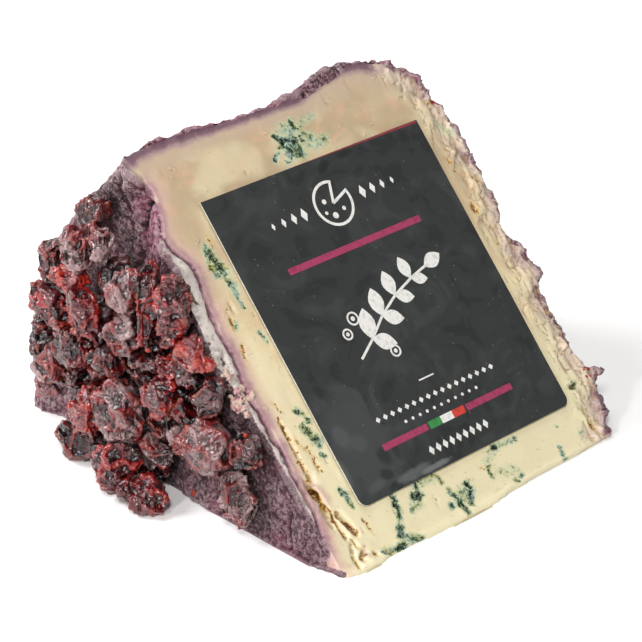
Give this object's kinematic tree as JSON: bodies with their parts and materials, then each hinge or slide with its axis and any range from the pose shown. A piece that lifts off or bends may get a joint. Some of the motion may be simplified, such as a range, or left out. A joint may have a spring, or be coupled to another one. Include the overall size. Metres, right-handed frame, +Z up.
{
  "type": "blue cheese wedge",
  "caption": "Wedge of blue-veined cheese cut from a round wheel, resting on its flat lower cut, with dried cranberries packed on the rind and a flat label on the upper cut.",
  "frame": {"origin": "middle of the flat lower cut, on the surface that the wedge rests on", "axes": "+X along the wheel's axis from the cranberry face to the base, +Y from the wedge's tip out to the rim, +Z up"},
  "size_m": [0.1284, 0.1254, 0.0902],
  "materials": {
    "cheese": "moist cream curd with blue-green veins, and a velvety wine-purple rind",
    "label": "satin coated charcoal print with plum stripes",
    "cranberry": "wrinkled sticky dried skin, deep maroon to grey-mauve"
  },
  "bodies": {
    "root": {"cheese": "cheese", "label": "label", "cranberry_01": "cranberry", "cranberry_02": "cranberry", "cranberry_03": "cranberry", "cranberry_04": "cranberry", "cranberry_05": "cranberry", "cranberry_06": "cranberry", "cranberry_07": "cranberry", "cranberry_08": "cranberry", "cranberry_09": "cranberry", "cranberry_10": "cranberry", "cranberry_11": "cranberry", "cranberry_12": "cranberry", "cranberry_13": "cranberry", "cranberry_14": "cranberry", "cranberry_15": "cranberry", "cranberry_16": "cranberry", "cranberry_17": "cranberry", "cranberry_18": "cranberry", "cranberry_19": "cranberry", "cranberry_20": "cranberry", "cranberry_21": "cranberry", "cranberry_22": "cranberry", "cranberry_23": "cranberry", "cranberry_24": "cranberry", "cranberry_25": "cranberry", "cranberry_26": "cranberry", "cranberry_27": "cranberry", "cranberry_28": "cranberry", "cranberry_29": "cranberry", "cranberry_30": "cranberry", "cranberry_31": "cranberry", "cranberry_32": "cranberry", "cranberry_33": "cranberry", "cranberry_34": "cranberry", "cranberry_35": "cranberry", "cranberry_36": "cranberry", "cranberry_37": "cranberry", "cranberry_38": "cranberry", "cranberry_39": "cranberry", "cranberry_40": "cranberry", "cranberry_41": "cranberry", "cranberry_42": "cranberry", "cranberry_43": "cranberry", "cranberry_44": "cranberry", "cranberry_45": "cranberry", "cranberry_46": "cranberry", "cranberry_47": "cranberry", "cranberry_48": "cranberry", "cranberry_49": "cranberry", "cranberry_50": "cranberry", "cranberry_51": "cranberry"}
  },
  "joints": []
}
